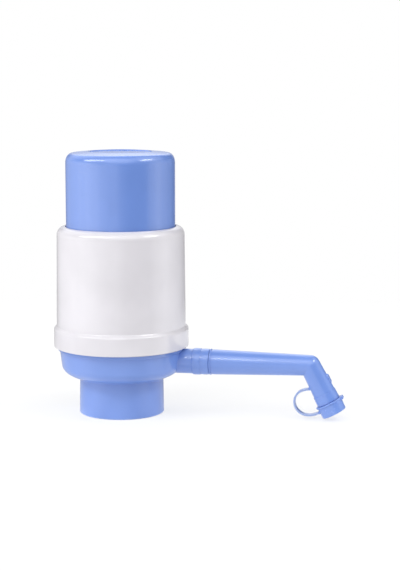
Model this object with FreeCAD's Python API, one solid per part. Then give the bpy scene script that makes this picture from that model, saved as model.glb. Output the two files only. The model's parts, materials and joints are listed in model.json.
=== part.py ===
"""Hand pump for a bottled-water jug: a push cap squeezes a bellows, the air goes down into the jug
and drives the water up through an elbow and out of the spout.

Millimetres. The origin is the centre of the neck collar's bottom face, +Z is up and the spout
runs along +X. Every sub-part is one STEP file in parts/.
"""
import FreeCAD, Part
import math
import os

# ------------------------------------------------------------------ driving dimensions
# fits and small edges
snug_gap = 0.15          # radial gap of pieces that snap or drop together
turn_gap = 0.07          # radial gap of the spout's spigot and the dust cap's socket
free_gap = 0.4           # gap of the push cap to the sleeve that it slides in
end_gap = 0.25           # gap at the end of a piece that swivels or pulls off
clip_gap = 0.1           # play of the retaining ring in the nut
edge_break = 0.4         # small chamfers and rounds
small_round = 0.6
past = 1.0               # how far a cutting tool runs past the face that it cuts
sink = 0.5               # how far a fused rib or post reaches into the wall that carries it

# neck collar, which goes over the jug's neck
neck_bore_radius = 28.6
collar_wall = 2.4
collar_draft = 0.5
collar_depth = 27.0      # mouth to the ceiling that the neck gasket lies against
floor_wall = 3.0

# bowl of the base, measured up from its underside and out from the collar
bowl_lift = 0.2          # underside over the collar's ceiling
foot_ledge = 4.8         # collar's outside to the bowl's foot
foot_step = 0.3
foot_curve_width = 7.8
foot_fullness = 2.8
turn_rise = 8.0
bowl_height = 19.2
bowl_draft = 1.35
bowl_wall = 2.3

# rim of the base, which the sleeve snaps on
rim_step = 1.25
rim_wall = 2.3
rim_height = 14.9
bead_height = 0.4
bead_width = 2.0
bead_drop = 6.1          # bead's middle below the rim's top
ledge_depth = 11.0       # ledge below the rim's top
ledge_wall = 2.0
ledge_width = 2.3
gusset_count = 8
gusset_wall = 1.6
gusset_rise = 6.0
gusset_reach = 7.0

# outlet; distances along the spout are from the pump's axis
outlet_rise = 8.85       # outlet's axis over the floor
stub_radius = 8.96
stub_bore_radius = 7.0
stub_length = 9.95       # bowl's wall to the gland nut
thread_length = 7.3
thread_radius = 8.3
stub_overlap = 8.5       # length of the elbow's arm in the stub

# gland nut, its washer and the ring that keeps the spout in it
washer_thickness = 1.2
retainer_thickness = 1.3
retainer_bite = 0.8      # depth of its groove in the spigot
retainer_mouth = 60      # degrees of the ring that are open
nut_radius = 9.69
nut_nose_step = 0.3
nut_body_length = 5.9
nut_length = 12.3

# water elbow inside the base, and the bush for the suction tube
water_bore_radius = 4.6
elbow_leg_radius = 8.4
elbow_flange_width = 2.6
elbow_flange_thickness = 1.8
suction_tube_radius = 5.5
bush_wall = 1.2
bush_length = 9.2
bush_flange_width = 2.2
bush_flange_thickness = 2.0

# rubber rings
ring_section_radius = 0.7
ring_clearance = 0.05
ring_groove_width = 1.8
elbow_ring_inset = 4.0
spout_ring_inset = 6.4

# neck gasket
gasket_width = 6.6
gasket_thickness = 2.2
gasket_seat_depth = 0.5  # its seat's radius over the neck's bore
gasket_groove_depth = 0.5
gasket_groove_width = 1.6

# air holes and flap valves
floor_air_hole_radius = 2.8
floor_air_hole_circle = 17.0
floor_air_hole_count = 6
valve_hole_radius = 1.6
valve_hole_circle = 8.0
valve_hole_count = 8
flap_radius = 12.5
flap_thickness = 0.9
flap_boss = 0.4          # thicker middle of the flap
valve_stem_radius = 2.0
valve_head_radius = 2.9
valve_tip_radius = 1.2
valve_head_height = 3.0

# deck over the base, insert under the push cap, and the seats of the bellows on them
plate_thickness = 2.4
deck_seal_thickness = 1.0
cuff_seat_step = 6.2     # bellows' widest fold to the seat of its cuff
cuff_seat_wall = 2.4
cuff_seat_height = 7.8
cuff_length = 6.8
cuff_wall = 1.4
clamp_width = 3.6
clamp_height = 5.8
insert_depth = 11.26     # push cap's top to the underside of the insert's plate
insert_notch_radius = 2.5
insert_notch_count = 6

# screws
screw_radius = 1.5
screw_tip_length = 1.2
screw_head_radius = 3.0
screw_head_height = 2.0
screw_rim_height = 0.9
post_radius = 3.1
deck_screw_inset = 5.15
deck_screw_count = 4
deck_screw_length = 11.0
insert_screw_inset = 4.0
insert_screw_count = 3
insert_screw_length = 6.6

# bellows
bellows_gap = 1.7        # widest fold to the push cap's wall
fold_depth = 5.8
bellows_wall = 1.3
bellows_folds = 8

# white outer sleeve
band_gap = 2.77          # height of the rim that shows under the band
band_wall = 2.75
band_over = 0.97         # band's height over the rim's top
band_step = 2.05
band_slope = 1.7
sleeve_height = 87.53    # band's foot to the sleeve's top
sleeve_draft = 0.81
shoulder_radius = 6.0
lip_land = 0.08          # flat between the shoulder's curve and the lip's bore
sleeve_wall = 2.2

# push cap
lip_gap = 0.66           # lip's bore to the push cap
cap_wall = 2.2
cap_top_wall = 2.4
cap_rise = 54.56         # sleeve's top to the push cap's top
cap_crown = 1.77         # rise of the crown from the edge of its curve to the middle
cap_edge_width = 4.6
cap_edge_height = 7.0
cap_edge_pull = 0.55
recess_radius = 23.0
recess_depth = 0.7
flange_skirt = 1.5

# spout
spout_reach = 72.57      # stop flange to the meeting point of the two straight tubes
spout_drop_angle = 62.3  # degrees below level
spout_elbow_radius = 7.45
spout_wall = 1.9
spout_root_radius = 9.1
stop_flange_step = 0.4
stop_flange_thickness = 1.05
neck_groove_depth = 0.28
neck_groove_width = 1.2
spigot_depth = 22.5
spigot_end_gap = 1.1     # between the spigot and the elbow's arm
mouth_step_at = 22.2     # distances down the outlet are from the meeting point
drop_flare = 0.7         # growth of the sloping tube down to the mouth's step
mouth_step = 0.35
mouth_step_round = 0.25
mouth_length = 7.0
mouth_flare = 0.18
tip_step = 0.78
tip_length = 7.95
pad_at = 14.25
pad_length = 7.3
pad_width = 5.0
pad_rise = 0.8
pad_round = 0.7

# dust cap and its strap
dust_cap_wall = 1.39
dust_cap_floor = 1.2
dust_cap_draft = 0.27
dust_flange_width = 0.84
dust_flange_thickness = 1.3
dust_flange_round = 0.55
dust_lip_reach = 0.8
dust_lip_width = 6.0
dust_lip_height = 2.3
strap_width = 4.5
strap_thickness = 1.3
strap_lug_rise = 0.5
strap_lug_border = 0.3
strap_spout_at = 15.0
strap_cap_drop = 4.15    # dust cap's rim to the strap's end
strap_lead = 3.7         # how far each end of the strap is drawn straight out of its lug
# Points that draw the strap into its loop: how far out from the spout's lug, and the share of the way
# from one lug to the other.
strap_pulls = [(15.2, -0.6), (26.9, 1.02)]
strap_steps = 16         # spans of each of the strap's two faces

# ------------------------------------------------------------------ derived sizes
# radii, from the neck outwards
gasket_seat_radius = neck_bore_radius + gasket_seat_depth
collar_radius = neck_bore_radius + collar_wall
bowl_foot_radius = collar_radius + foot_ledge
bowl_turn_radius = bowl_foot_radius + foot_curve_width
bowl_top_radius = bowl_turn_radius + bowl_draft
rim_radius = bowl_top_radius + rim_step
rim_bore_radius = rim_radius - rim_wall
ledge_bore_radius = rim_bore_radius - ledge_width
skirt_bore_radius = rim_radius + snug_gap
band_radius = skirt_bore_radius + band_wall
sleeve_foot_radius = band_radius - band_step
sleeve_top_radius = sleeve_foot_radius - sleeve_draft
lip_bore_radius = sleeve_top_radius - shoulder_radius - lip_land
cap_radius = lip_bore_radius - lip_gap
cap_bore_radius = cap_radius - cap_wall
insert_radius = cap_bore_radius - free_gap
bellows_radius = cap_bore_radius - bellows_gap
bellows_valley_radius = bellows_radius - fold_depth
cuff_seat_radius = bellows_radius - cuff_seat_step
cuff_radius = cuff_seat_radius + cuff_wall
deck_radius = rim_bore_radius - snug_gap
deck_screw_circle = deck_radius - deck_screw_inset
insert_screw_circle = recess_radius - insert_screw_inset
bush_radius = suction_tube_radius + bush_wall

# heights, from the neck upwards
gasket_foot = collar_depth - gasket_thickness
floor_top = collar_depth + floor_wall
bowl_underside = collar_depth + bowl_lift
bowl_foot_height = bowl_underside + foot_step
bowl_turn_height = bowl_underside + turn_rise
rim_bottom = bowl_underside + bowl_height
rim_top = rim_bottom + rim_height
bead_middle = rim_top - bead_drop
ledge_height = rim_top - ledge_depth
deck_underside = ledge_height + deck_seal_thickness
deck_top = deck_underside + plate_thickness
band_bottom = rim_bottom + band_gap
sleeve_seat = rim_top + snug_gap
band_top = sleeve_seat + band_over
sleeve_top = band_bottom + sleeve_height
lip_underside = sleeve_top - sleeve_wall
cap_top = sleeve_top + cap_rise
insert_underside = cap_top - insert_depth
insert_top = insert_underside + plate_thickness
outlet_height = floor_top + outlet_rise
bush_foot = collar_depth - bush_flange_thickness
bush_top = bush_foot + bush_length

# distances along the level spout
stub_shoulder = bowl_turn_radius + stub_length
stub_end = stub_shoulder + thread_length
retainer_start = stub_end + washer_thickness + clip_gap
nut_inner_face = retainer_start + retainer_thickness + clip_gap
nut_body_end = stub_shoulder + nut_body_length
nut_end = stub_shoulder + nut_length
spout_start = nut_end + end_gap
spigot_start = spout_start - spigot_depth
elbow_reach = spigot_start - spigot_end_gap
stub_start = elbow_reach - stub_overlap
elbow_ring_at = elbow_reach - elbow_ring_inset
spout_ring_at = spigot_start + spout_ring_inset
spout_drop_at = spout_start + spout_reach

# radii of the water's way, and of the mouth and its dust cap
spigot_radius = stub_bore_radius - turn_gap
ring_radius = stub_bore_radius - ring_clearance - ring_section_radius
ring_groove_radius = ring_radius - ring_section_radius
retainer_groove_radius = spigot_radius - retainer_bite
mouth_step_radius = spout_elbow_radius + drop_flare
mouth_radius = mouth_step_radius + mouth_step
mouth_end_radius = mouth_radius + mouth_flare
tip_radius = mouth_end_radius - tip_step
socket_radius = tip_radius + turn_gap
dust_cap_radius = socket_radius + dust_cap_wall
dust_flange_radius = dust_cap_radius + dust_flange_width

# distances down the sloping outlet
mouth_end_at = mouth_step_at + mouth_length
tip_end_at = mouth_end_at + tip_length
dust_cap_start = mouth_end_at + end_gap
dust_cap_ceiling = tip_end_at + end_gap
dust_cap_end = dust_cap_ceiling + dust_cap_floor
strap_cap_at = dust_cap_start + strap_cap_drop

X = FreeCAD.Vector(1, 0, 0)
Y = FreeCAD.Vector(0, 1, 0)
Z = FreeCAD.Vector(0, 0, 1)
MIDDLE = FreeCAD.Vector(0, 0, 0)


# ------------------------------------------------------------------ ways of making a form
def outline(corners):
    """Closed face in the X-Z plane. A corner is (x, z), or (x, z, round) for a tangent arc there."""
    points = [FreeCAD.Vector(corner[0], 0, corner[1]) for corner in corners]
    starts, ends, arcs = [], [], []
    for i, corner in enumerate(corners):
        here = points[i]
        if len(corner) < 3:
            starts.append(here)
            ends.append(here)
            arcs.append(None)
            continue
        back = (points[i - 1] - here).normalize()
        ahead = (points[(i + 1) % len(points)] - here).normalize()
        half = back.getAngle(ahead) / 2
        run = corner[2] / math.tan(half)
        centre = here + (back + ahead).normalize() * (corner[2] / math.sin(half))
        starts.append(here + back * run)
        ends.append(here + ahead * run)
        nearest = centre + (here - centre).normalize() * corner[2]
        arcs.append(Part.Arc(starts[i], nearest, ends[i]).toShape())
    path = []
    for i, arc in enumerate(arcs):
        if arc is not None:
            path.append(arc)
        following = starts[(i + 1) % len(points)]
        if ends[i].distanceToPoint(following) > 1e-6:
            path.append(Part.makeLine(ends[i], following))
    return Part.Face(Part.Wire(path))


def turned(corners):
    """Solid of revolution about Z from an outline in radius and height."""
    return outline(corners).revolve(MIDDLE, Z, 360)


def curved(start, pull, end):
    """Curve in the X-Z plane from start to end, drawn towards the pull point."""
    curve = Part.BezierCurve()
    curve.setPoles([FreeCAD.Vector(x, 0, z) for x, z in (start, pull, end)])
    return curve.toShape()


def turned_curves(path):
    """Solid of revolution about Z from a list of corner points and of ready-made edges."""
    starts, ends = [], []
    for item in path:
        if isinstance(item, tuple):
            starts.append(FreeCAD.Vector(item[0], 0, item[1]))
            ends.append(starts[-1])
        else:
            starts.append(item.firstVertex(True).Point)
            ends.append(item.lastVertex(True).Point)
    edges = []
    for i, item in enumerate(path):
        if not isinstance(item, tuple):
            edges.append(item)
        following = starts[(i + 1) % len(path)]
        if ends[i].distanceToPoint(following) > 1e-6:
            edges.append(Part.makeLine(ends[i], following))
    return Part.Face(Part.Wire(edges)).revolve(MIDDLE, Z, 360)


def tube(outer, inner, low, high):
    """Plain ring or pipe about Z."""
    return turned([(inner, low), (outer, low), (outer, high), (inner, high)])


def rod(radius, low, high):
    return Part.makeCylinder(radius, high - low, FreeCAD.Vector(0, 0, low), Z)


def dome_rod(ball, length, radius):
    """Rod up Z, tapered from a ball about the origin to its radius at its far end, and its taper."""
    taper = math.acos(ball / math.hypot(radius, length)) - math.atan2(length, radius)
    half = (math.pi / 2 - taper) / 2
    dome = Part.Arc(Z * -ball, FreeCAD.Vector(ball * math.sin(half), 0, -ball * math.cos(half)),
                    FreeCAD.Vector(ball * math.cos(taper), 0, -ball * math.sin(taper))).toShape()
    return turned_curves([dome, (radius, length), (0, length)]), taper


def bend(ball, first, second):
    """Two tapered rods that leave one ball about the origin, each touching it smoothly.

    A rod is given as its direction, length and radius at its far end. They are cut where they meet:
    on that plane the two walls have run equally far from the circles in which they touch the ball.
    """
    (first_way, first_length, first_radius), (second_way, second_length, second_radius) = first, second
    first_rod, first_taper = dome_rod(ball, first_length, first_radius)
    second_rod, second_taper = dome_rod(ball, second_length, second_radius)
    first_rod.Placement = FreeCAD.Placement(MIDDLE, FreeCAD.Rotation(Z, first_way))
    second_rod.Placement = FreeCAD.Placement(MIDDLE, FreeCAD.Rotation(Z, second_way))
    across = first_way / math.cos(first_taper) - second_way / math.cos(second_taper)
    offset = ball * (math.tan(second_taper) - math.tan(first_taper)) / across.Length
    across.normalize()
    size = 2 * (first_length + second_length)
    side = Part.makeBox(size, size, size, FreeCAD.Vector(-size / 2, -size / 2, 0))
    side.Placement = FreeCAD.Placement(across * offset, FreeCAD.Rotation(Z, across))
    return first_rod.common(side).fuse(second_rod.cut(side)).removeSplitter()


def along_spout(shape):
    """Turns a piece made about Z so that its height becomes the distance along the level spout."""
    shape.rotate(MIDDLE, Y, 90)
    shape.translate(Z * outlet_height)
    return shape


def down_outlet(shape):
    """Turns a piece made about Z so that its height becomes the distance down the sloping outlet.

    The piece's own -X side ends up facing the pump's body.
    """
    shape.rotate(MIDDLE, Z, 180)
    shape.rotate(MIDDLE, Y, 90 + spout_drop_angle)
    shape.translate(FreeCAD.Vector(spout_drop_at, 0, outlet_height))
    return shape


def ringed(shape, circle, count, start):
    """Copies of a shape on a circle about Z, evenly spaced, the first turned by start degrees."""
    copies = []
    for i in range(count):
        copy = shape.copy()
        copy.translate(X * circle)
        copy.rotate(MIDDLE, Z, start + 360 / count * i)
        copies.append(copy)
    return copies


def save(name, shape):
    shape.exportStep("parts/" + name + ".step")


# ------------------------------------------------------------------ base
deck_screw_turn = 180 / deck_screw_count
insert_screw_turn = 180 / insert_screw_count
wall_slope = bowl_draft / (rim_bottom - bowl_turn_height)


def bowl_shell():
    """Collar, floor, bowl wall, ledge and rim in one turned form."""
    pull_height = bowl_foot_height + foot_fullness
    pull_radius = bowl_turn_radius - wall_slope * (bowl_turn_height - pull_height)
    outer_foot = curved((bowl_foot_radius, bowl_foot_height), (pull_radius, pull_height),
                        (bowl_turn_radius, bowl_turn_height))
    inner_foot = curved((bowl_turn_radius - bowl_wall, bowl_turn_height),
                        (pull_radius - bowl_wall, floor_top + foot_fullness / 2),
                        (bowl_foot_radius - bowl_wall / 2, floor_top))
    ledge_foot = ledge_height - ledge_wall
    wall_top_bore = bowl_top_radius - bowl_wall + wall_slope * (ledge_foot - rim_bottom)
    bead = rim_radius + bead_height
    return turned_curves([
        (neck_bore_radius, 0),
        (collar_radius - edge_break, 0),
        (collar_radius, edge_break),
        (collar_radius - collar_draft, bowl_underside),
        (bowl_foot_radius - sink, bowl_underside),
        outer_foot,
        (bowl_top_radius, rim_bottom),
        (rim_radius - edge_break, rim_bottom),
        (rim_radius, rim_bottom + edge_break),
        (rim_radius, bead_middle - bead_width / 2),
        (bead, bead_middle - bead_width / 5),
        (bead, bead_middle + bead_width / 5),
        (rim_radius, bead_middle + bead_width / 2),
        (rim_radius, rim_top - edge_break),
        (rim_radius - edge_break, rim_top),
        (rim_bore_radius, rim_top),
        (rim_bore_radius, ledge_height),
        (ledge_bore_radius, ledge_height),
        (ledge_bore_radius, ledge_foot),
        (wall_top_bore, ledge_foot),
        inner_foot,
        (bush_radius, floor_top),
        (bush_radius, collar_depth),
        (gasket_seat_radius, collar_depth),
        (gasket_seat_radius, gasket_foot),
        (neck_bore_radius, gasket_foot),
    ])


def bowl_inside():
    """What the bowl's outer face encloses, half a wall within it, which bounds the posts and ribs."""
    skin = bowl_wall / 2
    return turned([(0, bowl_underside + skin), (bowl_foot_radius - sink, bowl_underside + skin),
                   (bowl_turn_radius - skin, bowl_turn_height), (bowl_top_radius - skin, rim_bottom),
                   (bowl_top_radius - skin, deck_underside), (0, deck_underside)])


def base_bowl():
    """Shell with its outlet stub, screw posts, the ribs under the ledge and the saddle under the stub."""
    foot = floor_top - sink
    stub = along_spout(turned([(0, stub_start), (stub_radius, stub_start), (stub_radius, stub_shoulder),
                               (thread_radius, stub_shoulder), (thread_radius, stub_end, edge_break),
                               (0, stub_end)]))
    saddle = Part.makeBox(bowl_turn_radius - stub_start, gusset_wall, stub_radius,
                          FreeCAD.Vector(stub_start, -gusset_wall / 2, foot))
    post = rod(post_radius, foot, deck_underside)
    rib = outline([(bowl_foot_radius, foot), (bowl_turn_radius, bowl_turn_height),
                   (bowl_top_radius, ledge_height - sink), (ledge_bore_radius, ledge_height - sink),
                   (ledge_bore_radius - gusset_wall, floor_top + gusset_rise),
                   (ledge_bore_radius - gusset_reach, foot)])
    rib = rib.extrude(Y * gusset_wall)
    rib.translate(Y * (-gusset_wall / 2))
    inner = ringed(post, deck_screw_circle, deck_screw_count, deck_screw_turn)
    inner += ringed(rib, 0, gusset_count, 180 / gusset_count)
    bounds = bowl_inside()
    inner = [piece.common(bounds) for piece in inner + [saddle]]
    solid = bowl_shell().fuse(inner + [stub]).removeSplitter()
    bore = along_spout(rod(stub_bore_radius, stub_start - past, stub_end + past))
    hole = rod(screw_radius, deck_top - deck_screw_length - sink, deck_underside + past)
    air = rod(floor_air_hole_radius, collar_depth - past, floor_top + past)
    return solid.cut([bore] + ringed(hole, deck_screw_circle, deck_screw_count, deck_screw_turn)
                     + ringed(air, floor_air_hole_circle, floor_air_hole_count, 180 / floor_air_hole_count))


def neck_gasket():
    """Flat soft ring with a groove in the face that the jug's mouth presses."""
    bore, half = neck_bore_radius - gasket_width, gasket_groove_width / 2
    groove = neck_bore_radius - gasket_width / 2
    return turned([(bore, gasket_foot + edge_break), (bore + edge_break, gasket_foot),
                   (groove - half, gasket_foot), (groove, gasket_foot + gasket_groove_depth),
                   (groove + half, gasket_foot), (gasket_seat_radius, gasket_foot),
                   (gasket_seat_radius, collar_depth), (bore, collar_depth)])


def ring_seal(at):
    """Rubber O-ring that lies in a groove of a piece which goes into the stub's bore."""
    return along_spout(Part.makeTorus(ring_radius, ring_section_radius, Z * at, Z))


def ring_groove(at):
    half = ring_groove_width / 2
    return along_spout(tube(stub_bore_radius + past, ring_groove_radius, at - half, at + half))


def water_elbow():
    """Leg that stands on the floor and an arm that lies in the outlet stub, bored through."""
    leg = dome_rod(elbow_leg_radius, outlet_rise, elbow_leg_radius)[0]
    leg.rotate(MIDDLE, X, 180)
    leg.translate(Z * outlet_height)
    flange = rod(elbow_leg_radius + elbow_flange_width, floor_top, floor_top + elbow_flange_thickness)
    arm = along_spout(rod(spigot_radius, 0, elbow_reach))
    solid = leg.fuse([flange, arm]).removeSplitter()
    bore = bend(water_bore_radius, (-Z, outlet_rise, water_bore_radius), (X, elbow_reach, water_bore_radius))
    bore.translate(Z * outlet_height)
    return solid.cut([bore, rod(bush_radius, floor_top - past, bush_top), ring_groove(elbow_ring_at)])


def suction_bush():
    """Soft flanged bush, pushed up through the floor into the elbow's leg, which it locks in place."""
    flange = bush_radius + bush_flange_width
    return turned([(suction_tube_radius, bush_foot), (flange, bush_foot, small_round),
                   (flange, collar_depth), (bush_radius, collar_depth), (bush_radius, bush_top),
                   (suction_tube_radius, bush_top)])


def gland_washer():
    outside = thread_radius - snug_gap
    return along_spout(tube(outside, stub_bore_radius, stub_end, stub_end + washer_thickness))


def spout_retaining_ring():
    """Open ring that snaps into the spout's groove once the nut is on, and keeps the spout in it."""
    ring = tube(thread_radius - end_gap, retainer_groove_radius, retainer_start,
                retainer_start + retainer_thickness)
    half_mouth = thread_radius * math.tan(math.radians(retainer_mouth / 2))
    mouth = outline([(0, 0), (thread_radius, -half_mouth), (thread_radius, half_mouth)])
    mouth.rotate(MIDDLE, X, 90)
    mouth.translate(Z * (retainer_start - past))
    mouth = mouth.extrude(Z * (retainer_thickness + 2 * past))
    return along_spout(ring.cut(mouth))


def gland_nut():
    nose_radius = nut_radius - nut_nose_step
    bore = stub_bore_radius + clip_gap
    return along_spout(turned([
        (thread_radius, stub_shoulder), (nut_radius, stub_shoulder, small_round),
        (nut_radius, nut_body_end, nut_nose_step), (nose_radius, nut_body_end),
        (nose_radius, nut_end, nut_nose_step), (bore, nut_end), (bore, nut_inner_face),
        (thread_radius, nut_inner_face)]))


# ------------------------------------------------------------------ valves, deck and cap insert
def flap_valve(seat):
    """Umbrella valve: a soft flap under a plate, with a stem and a barbed head above it."""
    top = seat + plate_thickness
    under = seat - flap_thickness - flap_boss
    return turned([(0, under), (valve_head_radius, under), (flap_radius, seat - flap_thickness / 2),
                   (flap_radius, seat), (valve_stem_radius, seat), (valve_stem_radius, top),
                   (valve_head_radius, top), (valve_tip_radius, top + valve_head_height),
                   (0, top + valve_head_height)])


def plate_holes(plate_underside, circle, count, turn):
    """Holes of a plate: the ring of air holes and the stem hole of its flap valve, and its screw holes."""
    low, high = plate_underside - past, plate_underside + plate_thickness + past
    air = ringed(rod(valve_hole_radius, low, high), valve_hole_circle, valve_hole_count, 0)
    screw = ringed(rod(screw_radius, low, high), circle, count, turn)
    return air + screw + [rod(valve_stem_radius, low, high)]


def valve_deck():
    seat_bore = cuff_seat_radius - cuff_seat_wall
    seat_top = deck_top + cuff_seat_height
    plate = turned([(0, deck_underside), (deck_radius, deck_underside),
                    (deck_radius, deck_top - edge_break), (deck_radius - edge_break, deck_top),
                    (cuff_seat_radius, deck_top),
                    (cuff_seat_radius, seat_top, small_round), (seat_bore, seat_top, small_round),
                    (seat_bore, deck_top, small_round), (0, deck_top)])
    return plate.cut(plate_holes(deck_underside, deck_screw_circle, deck_screw_count, deck_screw_turn))


def deck_seal():
    return tube(deck_radius, ledge_bore_radius + snug_gap, ledge_height, deck_underside)


def round_head_screw(length, driven_up=False):
    """Round-headed screw with the face under its head at height 0."""
    screw = turned([(0, -length), (screw_radius / 2, -length), (screw_radius, screw_tip_length - length),
                    (screw_radius, 0), (screw_head_radius, 0), (screw_head_radius, screw_rim_height),
                    (screw_head_radius / 2, screw_head_height), (0, screw_head_height)])
    if driven_up:
        screw.rotate(MIDDLE, X, 180)
    return screw


def deck_screws():
    screw = round_head_screw(deck_screw_length)
    screw.translate(Z * deck_top)
    return Part.makeCompound(ringed(screw, deck_screw_circle, deck_screw_count, deck_screw_turn))


def insert_screws():
    screw = round_head_screw(insert_screw_length, driven_up=True)
    screw.translate(Z * insert_underside)
    return Part.makeCompound(ringed(screw, insert_screw_circle, insert_screw_count, insert_screw_turn))


def clamp_ring(low):
    """Ring that holds a cuff of the bellows on its seat."""
    outside, high = cuff_radius + clamp_width, low + clamp_height
    return turned([(cuff_radius, low), (outside, low, small_round), (outside, high, small_round),
                   (cuff_radius, high)])


def cap_insert():
    seat_bore = cuff_seat_radius - cuff_seat_wall
    seat_foot = insert_underside - cuff_seat_height
    plate = turned([(0, insert_underside), (seat_bore, insert_underside, small_round),
                    (seat_bore, seat_foot, small_round), (cuff_seat_radius, seat_foot, small_round),
                    (cuff_seat_radius, insert_underside), (insert_radius, insert_underside),
                    (insert_radius, insert_top), (0, insert_top)])
    notch = rod(insert_notch_radius, insert_underside - past, insert_top + past)
    notches = ringed(notch, insert_radius, insert_notch_count, 180 / insert_notch_count)
    return plate.cut(notches + plate_holes(insert_underside, insert_screw_circle, insert_screw_count,
                                           insert_screw_turn))


def bellows():
    """Folded rubber tube between its two cuffs, with one sharp fold per step."""
    first, last = deck_top + cuff_length, insert_underside - cuff_length
    step = (last - first) / bellows_folds
    outside, inside = [(cuff_radius, deck_top), (cuff_radius, first)], [(cuff_seat_radius, first)]
    for i in range(bellows_folds):
        peak, valley = first + (i + 0.5) * step, first + (i + 1) * step
        outside.append((bellows_radius, peak))
        inside.append((bellows_radius - bellows_wall, peak))
        if i < bellows_folds - 1:
            outside.append((bellows_valley_radius, valley))
            inside.append((bellows_valley_radius - bellows_wall, valley))
    outside += [(cuff_radius, last), (cuff_radius, insert_underside)]
    inside += [(cuff_seat_radius, last), (cuff_seat_radius, insert_underside)]
    return turned(outside + inside[::-1] + [(cuff_seat_radius, deck_top)])


# ------------------------------------------------------------------ outer sleeve and push cap
def outer_sleeve():
    groove = skirt_bore_radius + bead_height
    groove_half = bead_width / 2 + snug_gap
    return turned([
        (skirt_bore_radius, band_bottom, edge_break), (band_radius, band_bottom, small_round),
        (band_radius, band_top, band_step - edge_break),
        (sleeve_foot_radius, band_top + band_slope, band_step / 2),
        (sleeve_top_radius, sleeve_top, shoulder_radius), (lip_bore_radius, sleeve_top),
        (lip_bore_radius, lip_underside), (sleeve_top_radius - sleeve_wall, lip_underside,
                                           shoulder_radius - sleeve_wall),
        (sleeve_foot_radius - sleeve_wall, sleeve_seat), (skirt_bore_radius, sleeve_seat),
        (skirt_bore_radius, bead_middle + groove_half), (groove, bead_middle + bead_width / 4),
        (groove, bead_middle - bead_width / 4), (skirt_bore_radius, bead_middle - groove_half)])


def crown(height, radius, edge_width, edge_height):
    """The push cap's top from its middle to the foot of its rounded edge, as two edges."""
    curve_end = radius - edge_width
    middle = Z * height
    half = FreeCAD.Vector(curve_end / 2, 0, height - cap_crown / 4)
    end = FreeCAD.Vector(curve_end, 0, height - cap_crown)
    top = Part.Arc(middle, half, end).toShape()
    slope = 2 * cap_crown / curve_end
    run = cap_edge_pull * edge_width
    edge = Part.BezierCurve()
    edge.setPoles([end, end + FreeCAD.Vector(run, 0, -run * slope),
                   FreeCAD.Vector(radius, 0, end.z - edge_height * (1 - cap_edge_pull)),
                   FreeCAD.Vector(radius, 0, end.z - edge_height)])
    return [top, edge.toShape()]


def push_cap():
    """Cup with a crowned top, a shallow round recess in it and a flange that the sleeve's lip stops."""
    reach = shoulder_radius - sleeve_wall - free_gap
    corner_radius = sleeve_top_radius - shoulder_radius
    corner_height = sleeve_top - shoulder_radius
    slant = reach * math.sqrt(0.5)
    flange_edge = Part.Arc(FreeCAD.Vector(corner_radius + reach, 0, corner_height),
                           FreeCAD.Vector(corner_radius + slant, 0, corner_height + slant),
                           FreeCAD.Vector(corner_radius, 0, corner_height + reach)).toShape()
    outside = crown(cap_top, cap_radius, cap_edge_width, cap_edge_height)
    inside = crown(cap_top - cap_top_wall, cap_bore_radius, cap_edge_width - cap_wall / 2,
                   cap_edge_height - cap_top_wall)
    foot = corner_height - flange_skirt
    shell = turned_curves(outside + [(cap_radius, corner_height + reach), flange_edge.reversed(),
                                     (corner_radius + reach, foot), (cap_bore_radius, foot)]
                          + [edge.reversed() for edge in reversed(inside)])
    crown_drop = cap_crown * (recess_radius / (cap_radius - cap_edge_width)) ** 2
    recess_floor = cap_top - crown_drop - recess_depth
    backing = rod(recess_radius + cap_wall, recess_floor - cap_top_wall, recess_floor)
    post = rod(post_radius, insert_top, recess_floor - sink)
    posts = ringed(post, insert_screw_circle, insert_screw_count, insert_screw_turn)
    solid = shell.fuse([backing] + posts).removeSplitter()
    recess = turned([(0, recess_floor), (recess_radius - small_round, recess_floor),
                     (recess_radius, recess_floor + small_round), (recess_radius, cap_top + past),
                     (0, cap_top + past)])
    hole = rod(screw_radius, insert_top - past, insert_underside + insert_screw_length + edge_break)
    return solid.cut([recess] + ringed(hole, insert_screw_circle, insert_screw_count, insert_screw_turn))


# ------------------------------------------------------------------ spout
def bent_spout(ball, level_start, level_radius, drop_end, drop_radius):
    """Bent form with the given radii at the level tube's start, at the knee and at the outlet's end."""
    drop = math.radians(spout_drop_angle)
    down = FreeCAD.Vector(math.cos(drop), 0, -math.sin(drop))
    form = bend(ball, (-X, spout_drop_at - level_start, level_radius), (down, drop_end, drop_radius))
    form.translate(FreeCAD.Vector(spout_drop_at, 0, outlet_height))
    return form


def outlet_radius(at):
    """Outer radius of the sloping tube at a distance down from the meeting point."""
    return spout_elbow_radius + drop_flare * at / mouth_step_at


def strap_lug(at, inside, radius):
    """Flat-faced lug towards the pump's body, which one end of the strap meets."""
    width = strap_width + 2 * strap_lug_border
    height = strap_thickness + 2 * strap_lug_border
    face = radius + strap_lug_rise
    return down_outlet(Part.makeBox(face - inside, width, height,
                                    FreeCAD.Vector(-face, -width / 2, at - height / 2)))


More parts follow.
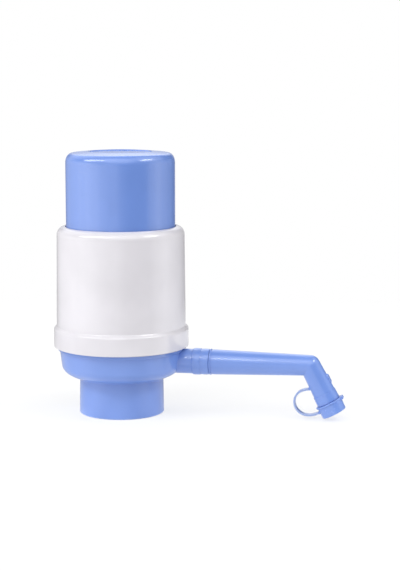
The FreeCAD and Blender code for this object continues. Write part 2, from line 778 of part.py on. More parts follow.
def spout():
    tube_start = spout_start + stop_flange_thickness + neck_groove_width
    flange_radius = spout_root_radius + stop_flange_step
    neck_radius = spout_root_radius - neck_groove_depth
    outside = bent_spout(spout_elbow_radius, tube_start, spout_root_radius, mouth_step_at, mouth_step_radius)
    root = along_spout(turned([
        (0, spigot_start), (spigot_radius - edge_break, spigot_start),
        (spigot_radius, spigot_start + edge_break), (spigot_radius, spout_start),
        (flange_radius, spout_start, edge_break),
        (flange_radius, spout_start + stop_flange_thickness, edge_break),
        (neck_radius, spout_start + stop_flange_thickness), (neck_radius, tube_start + past),
        (0, tube_start + past)]))
    mouth = down_outlet(turned([
        (0, mouth_step_at - past), (spout_elbow_radius, mouth_step_at - past),
        (mouth_step_radius, mouth_step_at), (mouth_radius, mouth_step_at, mouth_step_round),
        (mouth_end_radius, mouth_end_at, edge_break / 2), (tip_radius, mouth_end_at),
        (tip_radius, tip_end_at, edge_break), (0, tip_end_at)]))
    pad_face = outlet_radius(pad_at) + pad_rise
    pad_run = pad_length - pad_width
    pad = Part.makeBox(pad_face - pad_width / 2, pad_width, pad_run,
                       FreeCAD.Vector(pad_width / 2, -pad_width / 2, pad_at - pad_run / 2))
    pad_ends = [Part.makeCylinder(pad_width / 2, pad_face - pad_width / 2,
                                  FreeCAD.Vector(pad_width / 2, 0, pad_at + side * pad_run / 2), X)
                for side in (-1, 1)]
    pad = pad.fuse(pad_ends).removeSplitter()
    pad = pad.makeFillet(pad_round, [side for side in pad.Edges if side.BoundBox.XMin > pad_face - pad_round])
    pad = down_outlet(pad)
    lug = strap_lug(strap_spout_at, pad_width, outlet_radius(strap_spout_at))
    solid = outside.fuse([root, mouth, pad, lug]).removeSplitter()
    bore = bent_spout(spout_elbow_radius - spout_wall, spigot_start, water_bore_radius,
                      tip_end_at, tip_radius - spout_wall)
    retainer_end = retainer_start + retainer_thickness
    retainer_groove = along_spout(tube(spigot_radius + past, retainer_groove_radius, retainer_start,
                                       retainer_end))
    return solid.cut([bore, ring_groove(spout_ring_at), retainer_groove])


# ------------------------------------------------------------------ dust cap and strap
def dust_cap():
    neck = dust_cap_start + dust_flange_thickness
    cup = turned([
        (socket_radius, dust_cap_start), (dust_flange_radius, dust_cap_start, dust_flange_round),
        (dust_flange_radius, neck, dust_flange_round), (dust_cap_radius, neck),
        (dust_cap_radius - dust_cap_draft, dust_cap_end, sink), (0, dust_cap_end), (0, dust_cap_ceiling),
        (socket_radius, dust_cap_ceiling)])
    inside = socket_radius + sink
    edge = dust_flange_radius + dust_lip_reach
    lip = Part.makeBox(edge - inside, dust_lip_width, dust_lip_height,
                       FreeCAD.Vector(inside, -dust_lip_width / 2, dust_cap_start))
    lip = lip.makeFillet(edge_break, [side for side in lip.Edges if side.BoundBox.XMin > edge - edge_break])
    lug = strap_lug(strap_cap_at, inside, dust_cap_radius)
    return down_outlet(cup.fuse(lip).removeSplitter()).fuse(lug).removeSplitter()


def cap_strap():
    """Flat strap in the spout's upright plane, bent round between its two lugs."""
    start = outlet_radius(strap_spout_at) + strap_lug_rise
    end = dust_cap_radius + strap_lug_rise
    span = strap_cap_at - strap_spout_at
    poles = [(start, strap_spout_at), (start + strap_lead, strap_spout_at)]
    poles += [(start + out, strap_spout_at + share * span) for out, share in strap_pulls]
    poles += [(end + strap_lead, strap_cap_at), (end, strap_cap_at)]
    middle = Part.BezierCurve()
    middle.setPoles([FreeCAD.Vector(-out, 0, at) for out, at in poles])
    sides = []
    for side in (-1, 1):
        points = []
        for i in range(strap_steps + 1):
            at = i / strap_steps
            across = middle.tangent(at)[0].cross(Y).normalize()
            points.append(middle.value(at) + across * (side * strap_thickness / 2))
        curve = Part.BSplineCurve()
        curve.interpolate(Points=points, InitialTangent=-X, FinalTangent=X)
        sides.append(curve.toShape())
    near, far = sides
    ends = [Part.makeLine(near.firstVertex(True).Point, far.firstVertex(True).Point),
            Part.makeLine(near.lastVertex(True).Point, far.lastVertex(True).Point)]
    strap = Part.Face(Part.Wire(Part.sortEdges([near, far] + ends)[0])).extrude(Y * strap_width)
    strap.translate(Y * (-strap_width / 2))
    return down_outlet(strap)


# ------------------------------------------------------------------ every sub-part
os.makedirs("parts", exist_ok=True)
save("base_bowl", base_bowl())
save("neck_gasket", neck_gasket())
save("water_elbow", water_elbow())
save("elbow_ring_seal", ring_seal(elbow_ring_at))
save("suction_bush", suction_bush())
save("gland_washer", gland_washer())
save("gland_nut", gland_nut())
save("deck_seal", deck_seal())
save("valve_deck", valve_deck())
save("deck_screws", deck_screws())
save("outlet_flap_valve", flap_valve(deck_underside))
save("lower_clamp_ring", clamp_ring(deck_top))
save("outer_sleeve", outer_sleeve())
save("bellows", bellows())
save("push_cap", push_cap())
save("cap_insert", cap_insert())
save("insert_screws", insert_screws())
save("inlet_flap_valve", flap_valve(insert_underside))
save("upper_clamp_ring", clamp_ring(insert_underside - clamp_height))
save("spout", spout())
save("spout_ring_seal", ring_seal(spout_ring_at))
save("spout_retaining_ring", spout_retaining_ring())
save("dust_cap", dust_cap())
save("cap_strap", cap_strap())
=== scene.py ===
"""Dresses the hand pump: its moulded shells, bellows, seals and strap, and the soft studio round it.

Everything is in metres in the pump's own frame: the origin is the middle of the neck collar's mouth,
+Z is up and the spout runs along +X.
"""
import bpy
import json
import math
import numpy as np
from mathutils import Matrix, Vector


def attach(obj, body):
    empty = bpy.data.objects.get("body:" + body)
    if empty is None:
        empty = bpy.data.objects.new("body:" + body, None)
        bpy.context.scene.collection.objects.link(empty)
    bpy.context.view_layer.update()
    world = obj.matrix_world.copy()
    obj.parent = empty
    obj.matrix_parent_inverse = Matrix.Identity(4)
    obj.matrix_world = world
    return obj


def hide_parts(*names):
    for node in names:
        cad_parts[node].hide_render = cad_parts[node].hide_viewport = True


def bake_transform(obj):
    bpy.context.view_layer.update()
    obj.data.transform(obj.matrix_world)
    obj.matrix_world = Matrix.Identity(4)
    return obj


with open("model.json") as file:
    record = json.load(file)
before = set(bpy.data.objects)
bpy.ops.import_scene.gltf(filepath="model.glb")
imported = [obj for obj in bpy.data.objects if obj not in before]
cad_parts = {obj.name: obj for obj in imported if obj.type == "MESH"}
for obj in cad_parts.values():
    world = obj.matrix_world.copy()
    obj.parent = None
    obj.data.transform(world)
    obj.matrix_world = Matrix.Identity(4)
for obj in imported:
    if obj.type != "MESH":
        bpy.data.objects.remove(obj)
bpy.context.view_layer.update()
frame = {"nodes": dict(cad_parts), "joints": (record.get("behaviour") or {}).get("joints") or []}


# ------------------------------------------------------------------ camera
# A long lens 1.1 m from the pump and 7 cm higher than its push cap, looking a little down. It stands
# to the right of the pump's front, so that the spout comes slightly towards it.
focal_px = 1550.0
picture_height_px = 570.0
sensor_mm = 36.0            # height of the film, which the picture's height fills
turn_left = math.radians(10.59)
look_down = math.radians(8.46)
eye = Vector((0.26154, -1.08654, 0.2593))

camera = bpy.data.objects.new("camera", bpy.data.cameras.new("camera"))
camera.data.sensor_width = sensor_mm
camera.data.lens = sensor_mm * focal_px / picture_height_px
camera.data.clip_start = 0.05
camera.data.clip_end = 50.0
camera.matrix_world = (Matrix.Translation(eye) @ Matrix.Rotation(turn_left, 4, "Z")
                       @ Matrix.Rotation(math.pi / 2 - look_down, 4, "X"))
bpy.context.scene.collection.objects.link(camera)
bpy.context.scene.camera = camera
bpy.context.scene.view_settings.view_transform = "Standard"


# ------------------------------------------------------------------ studio
# A white tent with soft panels all round, two strip lamps that draw the glints on the rounded edges,
# and small spots on the gland nut and the spout's elbow. The pump stands on a pale floor that fades
# into the tent at its edge, and that the camera partly sees through.
class Shade:
    """A socket of a node tree. Sums, products and powers of shades and numbers add Math nodes."""

    def __init__(self, tree, socket=None):
        self.tree = tree
        self.socket = socket

    def node(self, kind, inputs, settings=(), output=0):
        """Adds a node: its settings first, then its sockets' values or links. Returns an output."""
        made = self.tree.nodes.new("ShaderNode" + kind)
        for name, value in dict(settings).items():
            setattr(made, name, value)
        for name, value in inputs.items():
            if isinstance(value, Shade):
                self.tree.links.new(value.socket, made.inputs[name])
            else:
                made.inputs[name].default_value = value
        return Shade(self.tree, made.outputs[output] if made.outputs else None)

    def maths(self, operation, *values):
        """What a Math node makes of values or shades."""
        return self.node("Math", dict(enumerate(values)), {"operation": operation})

    def __add__(self, other):
        return self.maths("ADD", self, other)

    def __radd__(self, other):
        return self.maths("ADD", other, self)

    def __sub__(self, other):
        return self.maths("SUBTRACT", self, other)

    def __rsub__(self, other):
        return self.maths("SUBTRACT", other, self)

    def __mul__(self, other):
        return self.maths("MULTIPLY", self, other)

    def __rmul__(self, other):
        return self.maths("MULTIPLY", other, self)

    def __truediv__(self, other):
        return self.maths("DIVIDE", self, other)

    def __pow__(self, other):
        return self.maths("POWER", self, other)

    def __abs__(self):
        return self.maths("ABSOLUTE", self)

    def rise(self, low, high):
        """0 below low, 1 above high, smooth between."""
        return self.node("MapRange", {"Value": self, "From Min": low, "From Max": high},
                         {"interpolation_type": "SMOOTHSTEP"})

    def measure(self, operation, *others):
        """Number that a Vector Math node makes of this vector and the others."""
        values = dict(enumerate((self,) + others))
        return self.node("VectorMath", values, {"operation": operation}, "Value")


def emptied(made):
    """The node tree of a new material or world, with nothing in it."""
    made.use_nodes = True
    made.node_tree.nodes.clear()
    return Shade(made.node_tree)


pump_middle = Vector((0.02, 0, 0.11))
strip_distance = 1.1
spot_distance = 0.8
spot_radius = 0.055         # wide enough to draw a glint of a few degrees
spot_blend = 0.6            # share of the cone that fades out
away = Vector((-math.sin(turn_left), math.cos(turn_left), 0))


def toward(side_deg, up_deg):
    """Unit vector from the pump: the level way to the camera, turned by side_deg towards the
    picture's right and raised by up_deg."""
    side, up = math.radians(side_deg), math.radians(up_deg)
    return Matrix.Rotation(side, 3, "Z") @ -away * math.cos(up) + Vector((0, 0, math.sin(up)))


def aim_lamp(data, side_deg, up_deg, distance, target, watts, roll_deg=0.0):
    """Places a lamp at a distance from its target, facing it and rolled about its own axis."""
    data.energy = watts
    lamp = bpy.data.objects.new(data.name, data)
    way = toward(side_deg, up_deg)
    lamp.matrix_world = (Matrix.Translation(target + way * distance)
                         @ way.to_track_quat("Z", "Y").to_matrix().to_4x4()
                         @ Matrix.Rotation(math.radians(roll_deg), 4, "Z"))
    bpy.context.scene.collection.objects.link(lamp)


def strip_lamp(name, side_deg, up_deg, width, height, watts, roll_deg):
    """Rectangular lamp aimed at the pump's middle."""
    data = bpy.data.lights.new(name, "AREA")
    data.shape = "RECTANGLE"
    data.size = width
    data.size_y = height
    aim_lamp(data, side_deg, up_deg, strip_distance, pump_middle, watts, roll_deg)


def small_spot(name, side_deg, up_deg, target, cone_deg, watts):
    """Round lamp that lights one small place only."""
    data = bpy.data.lights.new(name, "SPOT")
    data.spot_size = math.radians(cone_deg)
    data.spot_blend = spot_blend
    data.shadow_soft_size = spot_radius
    aim_lamp(data, side_deg, up_deg, spot_distance, Vector(target), watts)


strip_lamp("left_lamp", side_deg=-62, up_deg=39, width=0.75, height=0.22, watts=4.0, roll_deg=25)
strip_lamp("right_lamp", side_deg=68, up_deg=42, width=0.5, height=0.20, watts=2.5, roll_deg=0)
small_spot("nut_spot", side_deg=-21, up_deg=41, target=(0.059, 0, 0.044), cone_deg=3.0, watts=6.0)
small_spot("elbow_spot", side_deg=-4, up_deg=34, target=(0.139, 0, 0.045), cone_deg=1.6, watts=12.0)

white = (1, 1, 1, 1)
world = bpy.data.worlds.new("tent")
tent = emptied(world)
direction = tent.node("TexCoord", {}, output="Generated")


def panel(side_deg, up_deg, strength, radius_deg):
    """Round soft panel of the tent: strength in its middle, falling smoothly to 0 at radius_deg."""
    facing = direction.measure("DOT_PRODUCT", tuple(toward(side_deg, up_deg)))
    return strength * facing.rise(math.cos(math.radians(radius_deg)), 1.0)


# Rows of panels: how far up, their radius, and each one's side and strength. One hangs overhead and
# one leans in from the back. Then come the level row, the raised row and the low row, which lights
# the pump from a little below, through the floor's faded edge.
panel_rows = (
    (90, 37, ((0, 0.12),)),
    (32, 27, ((180, 1.3),)),
    (0, 26, ((-140, 0.49), (-120, 0.47), (-100, 0.87), (-80, 1.14), (-60, 1.24), (-40, 0.36),
             (-20, 0.83), (80, 0.98), (100, 0.60), (120, 0.30), (140, 0.12), (180, 0.60))),
    (45, 37, ((-135, 1.12), (-45, 0.86), (0, 1.74), (45, 0.38), (90, 1.30), (180, 0.60))),
    (-22, 26, ((-45, 0.78), (0, 0.56))))
glow = sum(panel(side_deg, up_deg, strength, radius_deg)
           for up_deg, radius_deg, panels in panel_rows for side_deg, strength in panels)
by_camera = tent.node("LightPath", {}, output="Is Camera Ray")
lights = tent.node("Background", {"Color": white, "Strength": glow})
seen = tent.node("Background", {"Color": white, "Strength": 1.0})
tent.node("OutputWorld", {"Surface": tent.node("MixShader", {"Fac": by_camera, 1: lights, 2: seen})})
bpy.context.scene.world = world


def once_round(steps):
    """Angles of even steps once round, from 0."""
    return np.linspace(0, 2 * np.pi, steps, endpoint=False)


def grid_faces(rows, columns, path_closed):
    """Corner numbers of the four-sided faces of a grid whose columns go round: a point's number is
    its row times the number of columns, plus its column. A closed path joins its last row to its
    first."""
    last_row = rows if path_closed else rows - 1
    i, j = (index.ravel() for index in np.meshgrid(np.arange(last_row), np.arange(columns),
                                                   indexing="ij"))
    ahead, beside = (i + 1) % rows, (j + 1) % columns
    return np.stack([i * columns + j, ahead * columns + j, ahead * columns + beside,
                     i * columns + beside], -1)


floor_radius = 0.6
floor_drop = 0.0002         # how far below the collar's mouth it lies
floor_rings = 24
floor_steps = 96
floor_fade_start = 0.25
near_reach = 0.15           # the near pools of light fade out from here
far_reach = 0.4             # to here, where the far pools are full
pool_edge = 0.3             # cosine of a pool's half width, 72.5 degrees
bounce_grey = (0.4, 0.4, 0.4, 1)
shown_grey = (0.95, 0.95, 0.95, 1)
see_through = 0.7

share, turn = np.meshgrid(np.linspace(0, 1, floor_rings), once_round(floor_steps), indexing="ij")
floor_grid = np.stack([floor_radius * share * np.cos(turn), floor_radius * share * np.sin(turn),
                       np.full_like(share, -floor_drop)], -1)
floor_mesh = bpy.data.meshes.new("floor")
floor_mesh.from_pydata(floor_grid.reshape(-1, 3).tolist(), [],
                       grid_faces(floor_rings, floor_steps, False).tolist())
floor = bpy.data.objects.new("floor", floor_mesh)
bpy.context.scene.collection.objects.link(floor)

paint = bpy.data.materials.new("floor_paint")
coat = emptied(paint)
floor_place = coat.node("TexCoord", {}, output="Object")
reach = floor_place.measure("LENGTH")


def pools(*lit_sides):
    """Pools of light on the floor, each with its side and strength: strength along that side of the
    pump, falling smoothly to 0 at pool_edge, which is the cosine of the angle from it."""
    ways = ((tuple(toward(side_deg, 0)), strength) for side_deg, strength in lit_sides)
    return sum(strength * (floor_place.measure("DOT_PRODUCT", way) / reach).rise(pool_edge, 1.0)
               for way, strength in ways)


far = reach.rise(near_reach, far_reach)
floor_light = (pools((-90, 0.5), (-30, 0.5), (30, 0.17), (90, 0.58)) * (1 - far)
               + pools((60, 1.2), (120, 1.0)) * far)
lit = coat.node("Emission", {"Color": floor_light, "Strength": 1.0})
bounce = coat.node("AddShader", {0: coat.node("BsdfDiffuse", {"Color": bounce_grey}), 1: lit})
# The camera sees a pale floor that takes the pump's shadow, thinned by what is see-through.
shadowed = coat.node("BsdfDiffuse", {"Color": shown_grey})
clear = coat.node("BsdfTransparent", {})
shown = coat.node("MixShader", {"Fac": see_through, 1: shadowed, 2: clear})
by_camera = coat.node("LightPath", {}, output="Is Camera Ray")
inner = coat.node("MixShader", {"Fac": by_camera, 1: bounce, 2: shown})
edge = reach.rise(floor_fade_start, floor_radius)
coat.node("OutputMaterial", {"Surface": coat.node("MixShader", {"Fac": edge, 1: inner, 2: clear})})
floor_mesh.materials.append(paint)


# ------------------------------------------------------------------ base bowl
# Neck collar, bowl, rim and outlet stub in one piece of glossy blue polypropylene, moulded with its
# draw upwards, so that the melt leaves faint streaks up the collar. Jugs rub the collar's mouth.
blue_colour = (0.165, 0.28, 0.68)
blue_roughness = 0.18
gloss = 0.84
tone_scale = 26.0           # the tone drifts over a few centimetres
tone_spread = 0.035
scuff_cells = 95.0          # cells to a metre, whose edges are the hairline scuffs
scuff_patches = 60.0
scuff_width = 0.012
scuff_strength = 0.5
scuff_depth = 1.5e-6
scuff_tint = 0.35
rub_tint = 0.4
worn_share = 0.8            # what wear leaves of a colour
worn_white = 0.12           # and the white that it adds
drift_dull = 0.04
scuff_dull = 0.15
rub_dull = 0.25
peel_scale = 620.0
soak_depth = 0.002
streaks_round = 22          # streaks to a radian of the wall
streaks_up = 30             # and to a metre of its height
streak_height = 1.2e-5
rub_wobble = 0.001
rub_start = 0.0004
rub_end = 0.0024


def noise(place, scale, detail):
    """Noise about 0.5, with scale waves to a metre and detail finer octaves."""
    return place.node("TexNoise", {"Vector": place, "Scale": scale, "Detail": detail})


def axes(place):
    """The three coordinates of a place, as shades."""
    split = place.node("SeparateXYZ", {"Vector": place}).socket.node
    return [Shade(place.tree, output) for output in split.outputs]


def line_at(value, middle, half_width):
    """1 on the line where a value is at its middle, fading smoothly to 0 at half_width from it."""
    return 1 - abs(value - middle).rise(0, half_width)


def pick(factor, first, second):
    """The first colour where the factor is 0, the second where it is 1, and mixed between. On a Mix
    node the two colours are inputs 6 and 7, and the mixed one is output 2."""
    return factor.node("Mix", {"Factor": factor, 6: first, 7: second}, {"data_type": "RGBA"}, 2)


def moulded(name, colour, roughness, marks=None, peel=2e-6, milk=0.0, level=gloss, metal=0.0):
    """Material of a moulded piece. Its colour and gloss drift with a noise, and its skin has an
    orange peel of height peel, in metres, and sparse hairline scuffs. marks(place) gives the piece's
    own relief in metres and a mask of where it is rubbed dull. milk is the share of light that soaks
    in, and level is how strongly the skin reflects."""
    made = bpy.data.materials.new(name)
    place = emptied(made).node("TexCoord", {}, output="Object")
    drift = noise(place, tone_scale, 3.0)
    hairs = place.node("TexVoronoi", {"Vector": place, "Scale": scuff_cells},
                       {"feature": "DISTANCE_TO_EDGE"}, "Distance")
    patches = noise(place, scuff_patches, 2.0).rise(0.60, 0.72)
    scuff = (1 - hairs.rise(0.0, scuff_width)) * patches * scuff_strength
    relief, rubbed = marks(place) if marks else (0.0, 0.0)
    relief = peel * noise(place, peel_scale, 2.0) - scuff_depth * scuff + relief
    deep, pale = (tuple(min(1, part * tone) for part in colour) + (1,)
                  for tone in (1 - tone_spread, 1 + tone_spread))
    worn = tuple(worn_share * part + worn_white for part in colour) + (1,)
    wear = scuff_tint * scuff + rub_tint * rubbed
    tint = pick(wear, pick(drift.rise(0.3, 0.7), deep, pale), worn)
    dullness = (roughness - drift_dull / 2 + drift_dull * drift + scuff_dull * scuff
                + rub_dull * rubbed)
    skin = place.node("Bump", {"Height": relief, "Distance": 1.0, "Strength": 1.0})
    body = place.node("BsdfPrincipled", {
        "Base Color": tint, "Roughness": dullness, "Specular IOR Level": level, "Metallic": metal,
        "Subsurface Weight": milk, "Subsurface Scale": soak_depth, "Normal": skin})
    place.node("OutputMaterial", {"Surface": body})
    return made


def dress(material, *names):
    """Gives carried-over nodes their material."""
    for name in names:
        slots = frame["nodes"][name].data.materials
        slots.clear()
        slots.append(material)


def bowl_marks(place):
    """Flow streaks that run up the wall, from a noise on the angle round it and the height, and a
    broken rubbed band that starts at the collar's mouth and dies out at rub_end."""
    x, y, z = axes(place)
    round_wall = place.node("CombineXYZ", {"X": streaks_round * place.maths("ARCTAN2", y, x),
                                           "Y": streaks_up * z})
    ragged = z + rub_wobble * noise(place, 150.0, 3.0)
    rubbed = (1 - ragged.rise(rub_start, rub_end)) * noise(place, 300.0, 3.0)
    return streak_height * noise(round_wall, 1.0, 2.0), rubbed


dress(moulded("base_blue", blue_colour, blue_roughness, bowl_marks), "base_bowl")


# ------------------------------------------------------------------ outer sleeve
# Glossy white tube with a thick snap band at its foot and an inward lip at its rounded top. A witness
# ring under the shoulder shows where the two halves of its mould meet.
white_colour = (0.678, 0.660, 0.699)
white_roughness = 0.18
witness_height = 0.1302
witness_half_width = 0.00025
witness_relief = 2e-5
gate_place = (0, 0.0491, 0.0555)
gate_core_radius = 0.0006
gate_radius = 0.0012
gate_depth = 8e-5
gate_rub = 0.3


def sleeve_marks(place):
    """Witness ring under the shoulder, and one round gate mark on the band, at the back."""
    z = axes(place)[2]
    from_gate = place.measure("DISTANCE", gate_place)
    ring = witness_relief * line_at(z, witness_height, witness_half_width)
    pit = gate_depth * (1 - from_gate.rise(gate_core_radius, gate_radius))
    return ring - pit, gate_rub * (1 - from_gate.rise(0.0, gate_radius))


dress(moulded("sleeve_white", white_colour, white_roughness, sleeve_marks, peel=1.5e-6),
      "outer_sleeve")


# ------------------------------------------------------------------ push cap
# Blue cup that the palm pushes. Its top is crowned, with a shallow recess whose floor keeps the
# turning marks of the mould and the small nub of the gate in the middle.
recess_radius = 0.023
recess_corner = 0.0008
ring_relief = 1.2e-6
ring_turn = 5200            # radians of the turning marks to a metre
nub_height = 1.5e-4
nub_core_radius = 0.0004
nub_radius = 0.0011
palm_radius = 0.029
palm_half_width = 0.007
palm_rub = 0.25
# Heights over which each mark comes in, so that the cap's lower parts have none.
recess_heights = (0.180, 0.184)
nub_heights = (0.186, 0.187)
crown_heights = (0.185, 0.188)


def out_from_axis(x, y):
    """Distance from the upright axis, by Pythagoras."""
    return (x ** 2 + y ** 2) ** 0.5


def cap_marks(place):
    """Turning rings on the recess floor, a sine of the radius, with the gate's nub, and a broken ring
    on the crown that palms rub."""
    x, y, z = axes(place)
    out = out_from_axis(x, y)
    on_floor = (1 - out.rise(recess_radius - recess_corner, recess_radius)) * z.rise(*recess_heights)
    rings = ring_relief * place.maths("SINE", ring_turn * out) * on_floor
    nub = nub_height * (1 - out.rise(nub_core_radius, nub_radius)) * z.rise(*nub_heights)
    palm = line_at(out, palm_radius, palm_half_width) * z.rise(*crown_heights)
    return rings + nub, palm_rub * palm * noise(place, 130.0, 3.0).rise(0.45, 0.65)


dress(moulded("cap_blue", blue_colour, blue_roughness, cap_marks), "push_cap")


# ------------------------------------------------------------------ spout
# Blue bent tube moulded in two halves that meet in its upright plane, with a stop flange and a groove
# at its root and a stepped mouth for the dust cap.
parting_relief = 2e-5
parting_half_width = 0.00018


def spout_marks(place):
    """Parting line where the mould's halves meet, all round the upright plane y = 0."""
    y = axes(place)[1]
    return parting_relief * line_at(y, 0.0, parting_half_width), 0.0


dress(moulded("spout_blue", blue_colour, blue_roughness, spout_marks), "spout")


# ------------------------------------------------------------------ gland nut
# Blue nut that is screwed on the stub and holds the spout's retaining ring. Two barrel-shaped bands
# with a shallow groove between them are turned on its outside.
spout_height = 0.03885
nut_start = 0.05355
nut_waist = 0.05945
nut_end = 0.06585
nut_radius = 0.00969
nose_radius = 0.00942
nut_thread_radius = 0.0083
nut_bore_radius = 0.0071
nut_inner_face = 0.06355
band_crown = 0.00022
band_corner_power = 9
end_round = 0.0004
waist_round = 0.00008
band_steps = 28
nut_turns = 96
sharp_deg = 38


def barrel(low, high, radius, low_round, high_round):
    """Profile of a crowned band: from low to high, the radius falls by band_crown with the square of
    the distance from the middle, and by each end's rounding along a superellipse."""
    s = np.sin(np.linspace(-np.pi / 2, np.pi / 2, band_steps))
    corner = 1 - np.sqrt(1 - np.abs(s) ** band_corner_power)
    rounding = np.where(s < 0, low_round, high_round) * corner
    return np.stack([(low + high) / 2 + (high - low) / 2 * s,
                     radius - band_crown * s ** 2 - rounding], -1)


def turned(profile, steps):
    """Profile of places along an axis and radii, turned once round: the places, and the radii times
    the cosine and the sine of each step's angle."""
    turn = once_round(steps)[:, None]
    along, radius = profile.T
    return along + 0 * turn, radius * np.cos(turn), radius * np.sin(turn)


def woven(name, grid, material, path_closed):
    """Piece whose surface is a grid of points: rows follow a path and columns go round a closed
    section. An open path ends in two flat faces. All faces are turned round together where the volume
    that they enclose, summed corner by corner, is negative."""
    rows, columns = grid.shape[:2]
    points = grid.reshape(-1, 3)
    faces = grid_faces(rows, columns, path_closed)
    a, b, c, d = (points[faces[:, corner]] for corner in range(4))
    volume = (a * (np.cross(b, c) + np.cross(c, d))).sum()
    faces = faces.tolist()
    if not path_closed:
        faces += [list(range(columns)), list(range((rows - 1) * columns, rows * columns))[::-1]]
    mesh = bpy.data.meshes.new(name)
    mesh.from_pydata(points.tolist(), [], [face[::-1] if volume < 0 else face for face in faces])
    mesh.shade_smooth()
    mesh.set_sharp_from_angle(angle=math.radians(sharp_deg))
    mesh.materials.append(material)
    piece = bpy.data.objects.new(name, mesh)
    bpy.context.scene.collection.objects.link(piece)
    return piece


nut_profile = np.concatenate([
    barrel(nut_start, nut_waist, nut_radius, end_round, waist_round),
    barrel(nut_waist, nut_end, nose_radius, 0.0, end_round),
    [(nut_end, nut_bore_radius), (nut_inner_face, nut_bore_radius),
     (nut_inner_face, nut_thread_radius), (nut_start, nut_thread_radius)]])
x, y, z = turned(nut_profile, nut_turns)
nut_blue = moulded("nut_blue", blue_colour, blue_roughness)
nut_grid = np.stack([x, y, spout_height + z], -1)
nut = woven("gland_nut_bands", nut_grid, nut_blue, True)
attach(nut, "pump_body")
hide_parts("gland_nut")


# ------------------------------------------------------------------ dust cap
# Softer blue polyethylene cup, pushed over the spout's tip. Fingers pull it off by the lip of its
# flange, and have rubbed it a little duller in places.
soft_roughness = 0.26
finger_rub = 0.3


def dust_cap_marks(place):
    """Rubbed patches all over, from a broken noise."""
    return 0.0, finger_rub * noise(place, 240.0, 3.0).rise(0.55, 0.75)


dress(moulded("dust_cap_blue", blue_colour, soft_roughness, dust_cap_marks, peel=3e-6), "dust_cap")


# ------------------------------------------------------------------ cap strap
# Flat polyethylene strap in the spout's upright plane, which ties the dust cap to the spout. It
# leaves both lugs square and bends round in one loop towards the pump's body. It is thin enough for
# light to soak in, and looks paler and greyer than the cap.
strap_colour = (0.28, 0.37, 0.63)
strap_roughness = soft_roughness + 0.04
joints = {joint["name"]: joint for joint in frame["joints"]}
spout_bend = Vector((0.13867, 0, spout_height))
down_outlet = Vector(joints["dust_cap_pull"]["axis"])
to_body = Vector((down_outlet.z, 0, -down_outlet.x))
strap_half_width = 0.00245
strap_half_thickness = 0.00074
strap_corner_power = 7
strap_end_swell = 0.2       # share that the thickness grows by at the lugs
strap_swell_reach = 0.03    # and the share of the way along over which it dies out
# Poles of the strap's middle line, in millimetres: out from the outlet's axis and down along it.
strap_poles = np.array([(8.1, 15.0), (12.1, 15.0), (23.62, 3.84), (35.3, 33.97), (13.56, 33.6),
                        (9.6, 33.6)])
strap_steps = 90
strap_sides = 40


def bezier(poles, share):
    """Curve from the first pole to the last: each pole is weighted by its term of share + (1 - share)
    raised to the power of the number of poles less one and multiplied out."""
    last = len(poles) - 1
    order = np.arange(len(poles))
    terms = np.array([math.comb(last, k) for k in order])
    return (terms * share ** order * (1 - share) ** (last - order)) @ poles


def squared(part):
    """Sine or cosine of a superellipse: its size to the power 2 / strap_corner_power, sign kept."""
    return np.sign(part) * np.abs(part) ** (2 / strap_corner_power)


share = np.linspace(0, 1, strap_steps)[:, None]
middle = 0.001 * bezier(strap_poles, share)
along = np.gradient(middle, axis=0)
along /= np.linalg.norm(along, axis=1, keepdims=True)
across = np.stack([-along[:, 1], along[:, 0]], -1)
# The swell at each lug dies out along a bell curve.
swell = 1 + strap_end_swell * (np.exp(-(share / strap_swell_reach) ** 2)
                               + np.exp(-((1 - share) / strap_swell_reach) ** 2))
angle = once_round(strap_sides)
thick = strap_half_thickness * swell * squared(np.sin(angle))
plane = middle[:, None] + across[:, None] * thick[..., None]
wide = strap_half_width * squared(np.cos(angle))
strap_grid = (np.array(spout_bend) + plane[..., :1] * np.array(to_body)
              + plane[..., 1:] * np.array(down_outlet) + wide[None, :, None] * np.array((0, 1, 0)))
strap_blue = moulded("strap_blue", strap_colour, strap_roughness, peel=3e-6, milk=0.1)
strap = woven("cap_strap_loop", strap_grid, strap_blue, False)
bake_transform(strap)
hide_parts("cap_strap")


# ------------------------------------------------------------------ bellows
# Blow-moulded rubber tube between the deck and the cap insert, milky and soft. Eight folds stand
# between two straight cuffs. The real tube folds flat as the cap goes down; this one is built at rest.
deck_top = 0.0537
insert_underside = 0.180
cuff_length = 0.0068
cuff_inner_radius = 0.02945
cuff_radius = 0.0308
fold_radius = 0.0356
valley_radius = 0.0298
bellows_wall = 0.0013
fold_count = 8
fold_sharpness = 0.97
fold_steps = 16
bellows_turns = 120
milky_colour = (0.72, 0.72, 0.69)
rubber_roughness = 0.5
seam_relief = 3e-5
seam_half_width = 0.0003
fold_wear = 0.001           # how far in from the folds' edges they are worn
fold_rub = 0.5

first_fold, last_fold = deck_top + cuff_length, insert_underside - cuff_length
phase = np.linspace(0, fold_count, fold_count * fold_steps + 1)
# Rounded zigzag: the arcsine of a cosine, a little short of its sharp limit.
zigzag = 0.5 - 0.5 * np.arcsin(fold_sharpness * np.cos(2 * np.pi * phase)) / math.asin(fold_sharpness)
at_cuff = (phase < 0.5) | (phase > fold_count - 0.5)


def wall(cuff, valley, fold):
    """Height and radius up one side of the wall: a cuff, the folds between valley and fold, which
    start and end at the cuff's radius, and a cuff."""
    low = np.where(at_cuff, cuff, valley)
    radius = np.pad(low + (fold - low) * zigzag, 1, constant_values=cuff)
    height = first_fold + (last_fold - first_fold) * phase / fold_count
    return np.stack([np.concatenate([[deck_top], height, [insert_underside]]), radius], -1)


outside = wall(cuff_radius, valley_radius, fold_radius)
inside = wall(cuff_inner_radius, valley_radius - bellows_wall, fold_radius - bellows_wall)
z, x, y = turned(np.concatenate([outside, inside[::-1]]), bellows_turns)


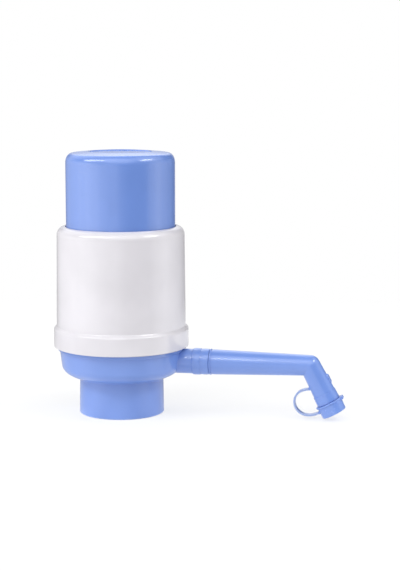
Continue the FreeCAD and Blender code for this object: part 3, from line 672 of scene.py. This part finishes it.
def bellows_marks(place):
    """Seams of the two blow-mould halves, on the plane x = 0, and wear on the folds' outer edges."""
    x, y = axes(place)[:2]
    rubbed = fold_rub * out_from_axis(x, y).rise(fold_radius - fold_wear, fold_radius)
    return seam_relief * line_at(x, 0.0, seam_half_width), rubbed


rubber = moulded("milky_rubber", milky_colour, rubber_roughness, bellows_marks, peel=6e-6,
                 milk=0.35, level=0.4)
folds = woven("bellows_folds", np.stack([x, y, z], -1), rubber, True)
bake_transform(folds)
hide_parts("bellows")


# ------------------------------------------------------------------ inner plastics
# Deck, cap insert, clamp rings, water elbow and retaining ring: satin polypropylene of its natural
# milky white, with the round marks of the ejector pins on the flat faces.
natural_colour = (0.76, 0.76, 0.73)
natural_roughness = 0.38
pin_circle = 0.0175
pin_radius = 0.0016
pin_core_radius = 0.001
pin_half_width = 0.00025
pin_depth = 3e-5
pin_rub = 0.3
pin_count = 6


def fold_round(place, count, first_turn=0.0):
    """Distances along and across the nearest of count radii, evenly set about the axis: the angle from
    the first radius is folded into one share of the turn."""
    x, y = axes(place)[:2]
    sector = 2 * math.pi / count
    angle = place.maths("ARCTAN2", y, x) - first_turn
    angle = angle - sector * place.maths("ROUND", angle / sector)
    out = out_from_axis(x, y)
    return out * place.maths("COSINE", angle), out * place.maths("SINE", angle)


def pin_marks(place):
    """Shallow rings round the points of a circle about the axis."""
    out, across = fold_round(place, pin_count)
    to_pin = out_from_axis(out - pin_circle, across)
    edge = line_at(to_pin, pin_radius, pin_half_width)
    return -pin_depth * edge, pin_rub * (1 - to_pin.rise(pin_core_radius, pin_radius))


natural = moulded("natural_plastic", natural_colour, natural_roughness, pin_marks, peel=5e-6,
                  milk=0.15, level=0.5)
dress(natural, "valve_deck", "cap_insert", "lower_clamp_ring", "upper_clamp_ring", "water_elbow",
      "spout_retaining_ring")


# ------------------------------------------------------------------ silicone seals and flap valves
# Neck gasket, suction bush, washer, deck seal and the two umbrella valves: translucent silicone
# rubber with a dusty satin skin.
silicone_colour = (0.74, 0.75, 0.77)
silicone_roughness = 0.36
dust_relief = 4e-6
dust_dull = 0.5


def silicone_marks(place):
    """Dust that clings in broken patches of noise."""
    dust = dust_dull * noise(place, 180.0, 4.0).rise(0.5, 0.7)
    return dust_relief * noise(place, 900.0, 2.0), dust


silicone = moulded("silicone", silicone_colour, silicone_roughness, silicone_marks, peel=4e-6,
                   milk=0.4, level=0.45)
dress(silicone, "neck_gasket", "suction_bush", "gland_washer", "deck_seal", "outlet_flap_valve",
      "inlet_flap_valve")


# ------------------------------------------------------------------ rubber rings
# Two black nitrile rings in their grooves, on the water elbow's arm and on the spout's spigot, with a
# smear of grease.
nitrile_colour = (0.02, 0.02, 0.021)
nitrile_roughness = 0.48
grind_relief = 6e-6
grease_shine = 0.6


def grease_marks(place):
    """Fine grinding of the ring's flash, and patches of grease that shine more than the rubber."""
    grease = -grease_shine * noise(place, 260.0, 3.0).rise(0.45, 0.6)
    return grind_relief * noise(place, 1500.0, 2.0), grease


nitrile = moulded("nitrile", nitrile_colour, nitrile_roughness, grease_marks, peel=4e-6, level=0.5)
dress(nitrile, "elbow_ring_seal", "spout_ring_seal")


# ------------------------------------------------------------------ screws
# Four screws hold the deck down and three hold the cap insert: zinc-plated steel, round-headed, with
# a cross recess that is duller inside.
zinc_colour = (0.58, 0.60, 0.63)
zinc_roughness = 0.32
cross_half_length = 0.0014
cross_half_width = 0.00035
cross_slope = 0.0002
cross_depth = 4e-4
cross_dull = 0.4
plating_relief = 3e-6
deck_screw_circle = 0.03860
insert_screw_circle = 0.0190


def screw_marks(circle, count):
    """Cross recess on each head of a ring of screws, the first of them half a share round from X: the
    longer of the two distances from the head's middle is short enough, and the shorter one too."""
    def marks(place):
        out, across = fold_round(place, count, math.pi / count)
        u, v = abs(out - circle), abs(across)
        in_length, in_width = (
            1 - place.maths(way, u, v).rise(half_size, half_size + cross_slope)
            for way, half_size in (("MAXIMUM", cross_half_length), ("MINIMUM", cross_half_width)))
        cross = in_length * in_width
        relief = -cross_depth * cross + plating_relief * noise(place, 1200.0, 2.0)
        return relief, cross_dull * cross
    return marks


for screw, circle, count in (("deck_screw", deck_screw_circle, 4),
                             ("insert_screw", insert_screw_circle, 3)):
    zinc = moulded(screw + "_zinc", zinc_colour, zinc_roughness, screw_marks(circle, count),
                   metal=1.0, level=0.5)
    dress(zinc, screw + "s")
